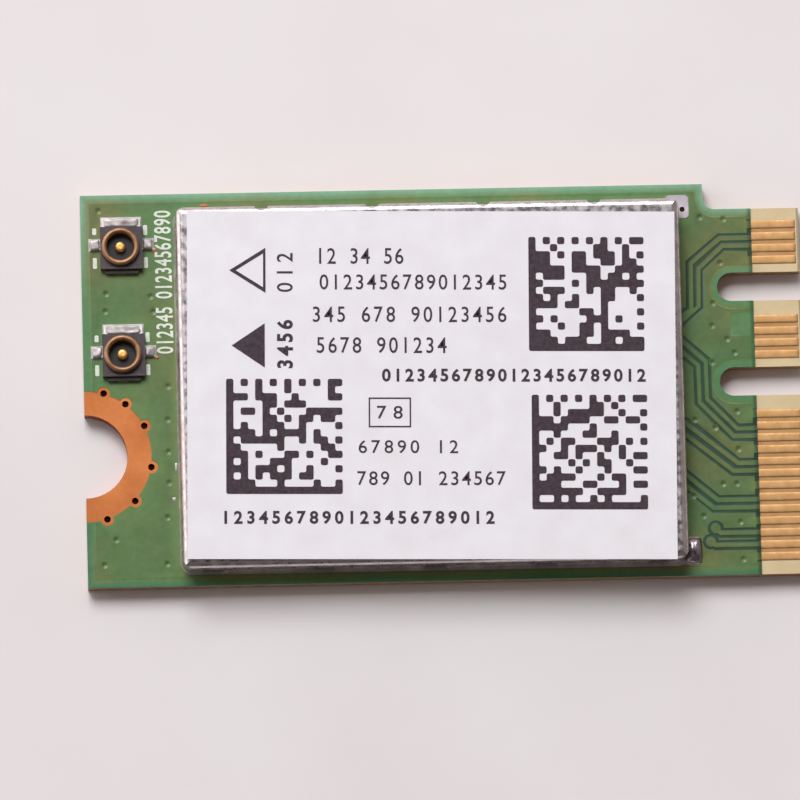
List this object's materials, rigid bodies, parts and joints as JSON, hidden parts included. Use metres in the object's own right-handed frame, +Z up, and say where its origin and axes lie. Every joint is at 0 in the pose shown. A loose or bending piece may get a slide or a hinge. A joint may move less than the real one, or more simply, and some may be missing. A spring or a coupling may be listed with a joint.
{
  "type": "laptop wireless network card",
  "caption": "Small edge-connector radio card with keyed gold fingers, a labelled shield can, coaxial antenna jacks and a half-round screw notch.",
  "frame": {"origin": "middle of the card's underside", "axes": "+X from the screw notch to the contact fingers, +Y across the card towards the stepped side of the tongue, +Z up out of the component side"},
  "size_m": [0.03, 0.0164, 0.0022],
  "materials": {
    "laminate": "cut glass-fibre laminate",
    "copper": "etched foil under the mask",
    "solder_mask": "satin green mask",
    "gold_finger": "plated gold",
    "bare_copper": "bare copper",
    "solder": "bright tin",
    "white_ink": "printed ink",
    "black_moulding": "moulded plastic",
    "jack_metal": "plated sheet",
    "jack_gold": "plated gold",
    "tinned_steel": "tinned sheet steel",
    "label_stock": "satin white film",
    "dark_ink": "thermal print",
    "chip_resin": "moulded epoxy",
    "pale_ceramic": "fired ceramic",
    "dark_ceramic": "fired ceramic",
    "tan_ceramic": "fired ceramic"
  },
  "bodies": {
    "root": {"board_core": "laminate", "top_copper": "copper", "bottom_copper": "copper", "top_solder_mask": "solder_mask", "bottom_solder_mask": "solder_mask", "top_contact_fingers": "gold_finger", "bottom_contact_fingers": "gold_finger", "screw_pad": "bare_copper", "solder_lands": "solder", "silkscreen": "white_ink", "aux_jack_housing": "black_moulding", "aux_jack_shell": "jack_metal", "aux_jack_pin": "jack_gold", "main_jack_housing": "black_moulding", "main_jack_shell": "jack_metal", "main_jack_pin": "jack_gold", "shield_can": "tinned_steel", "label": "label_stock", "label_print": "dark_ink", "radio_chip": "chip_resin", "memory_chip": "chip_resin", "power_regulator": "chip_resin", "aux_front_end": "chip_resin", "main_front_end": "chip_resin", "aux_filter": "pale_ceramic", "main_filter": "pale_ceramic", "aux_balun": "pale_ceramic", "main_balun": "pale_ceramic", "chip_leads": "solder", "crystal_base": "dark_ceramic", "crystal_lid": "tinned_steel", "inductor_core": "dark_ceramic", "inductor_ends": "solder", "capacitor_bodies": "tan_ceramic", "capacitor_ends": "solder", "resistor_bodies": "dark_ceramic", "resistor_ends": "solder", "component_solder": "solder"}
  },
  "joints": []
}
